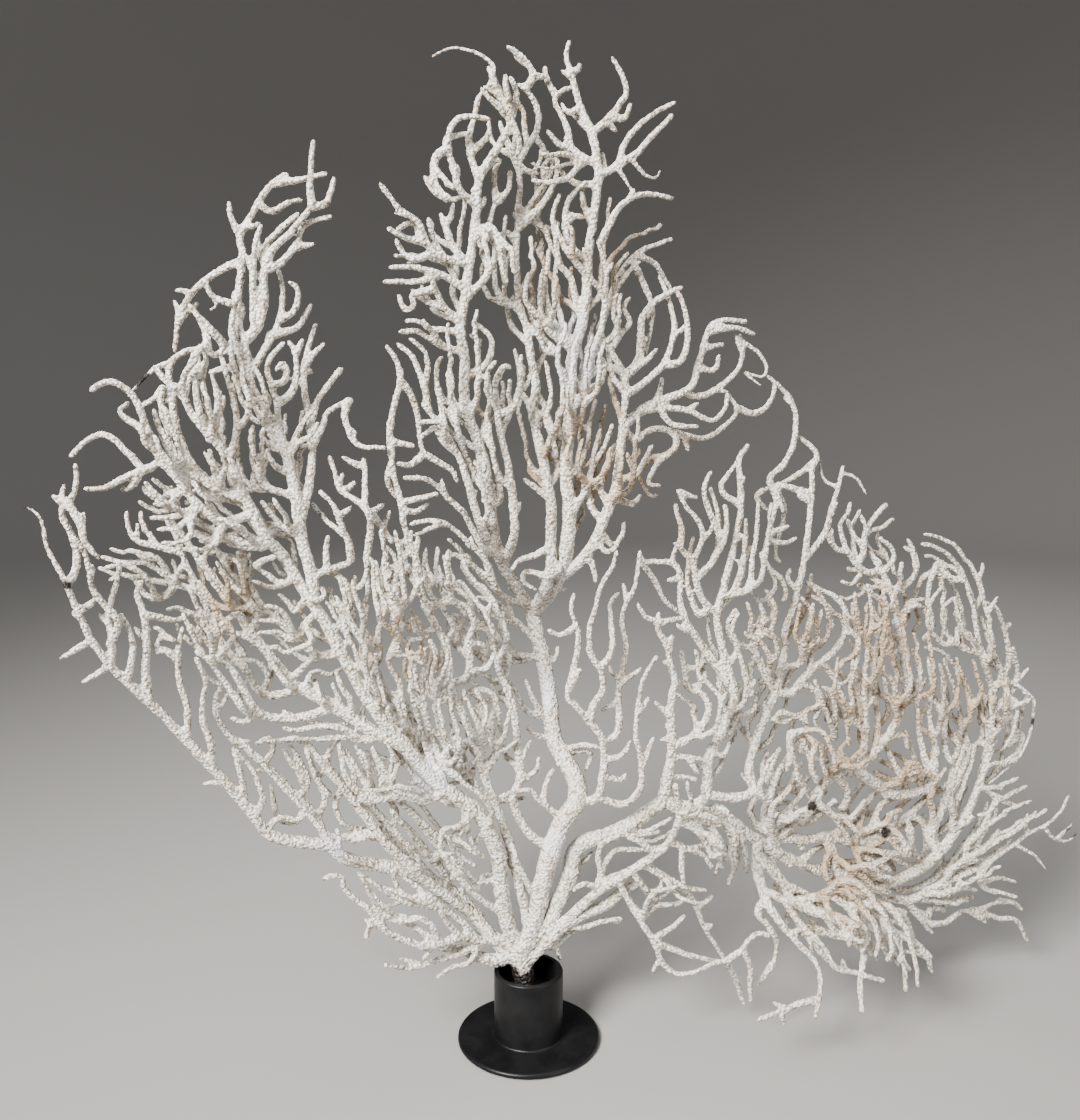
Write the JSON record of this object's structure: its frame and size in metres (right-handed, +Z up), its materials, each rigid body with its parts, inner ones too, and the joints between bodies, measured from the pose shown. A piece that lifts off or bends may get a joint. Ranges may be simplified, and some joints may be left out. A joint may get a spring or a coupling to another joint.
{
  "type": "sea fan on stand",
  "caption": "Dried white sea fan with a granular crust, its flat spray of forked limbs rising from a stem held upright in a small black tube on a round foot.",
  "frame": {"origin": "centre of the foot's underside, where it meets the table", "axes": "+Z up along the tube, +X to the right across the fan seen from the front, +Y to the back"},
  "size_m": [0.4323, 0.113, 0.4175],
  "materials": {
    "stand_black": "black paint, satin",
    "packing_black": "dull black",
    "fan_crust": "rough, granular, off-white"
  },
  "bodies": {
    "root": {"stand": "stand_black", "packing": "packing_black", "stem": "fan_crust", "centre_limb": "fan_crust", "mast_left_limb": "fan_crust", "mast_middle_limb": "fan_crust", "mast_limb": "fan_crust", "mast_right_limb": "fan_crust", "right_arm_limb": "fan_crust", "left_limb": "fan_crust", "left_crest_limb": "fan_crust", "left_tuft_limb": "fan_crust", "left_second_limb": "fan_crust", "lower_left_limb": "fan_crust", "left_inner_limb": "fan_crust", "left_low_limb": "fan_crust", "inner_left_limb": "fan_crust", "right_limb": "fan_crust", "right_under_limb": "fan_crust", "right_rise_limb": "fan_crust", "right_mid_limb": "fan_crust", "right_core_limb": "fan_crust", "right_sweep_limb": "fan_crust", "right_outer_limb": "fan_crust", "right_rim_limb": "fan_crust", "right_tail_limb": "fan_crust", "right_low_limb": "fan_crust"}
  },
  "joints": []
}
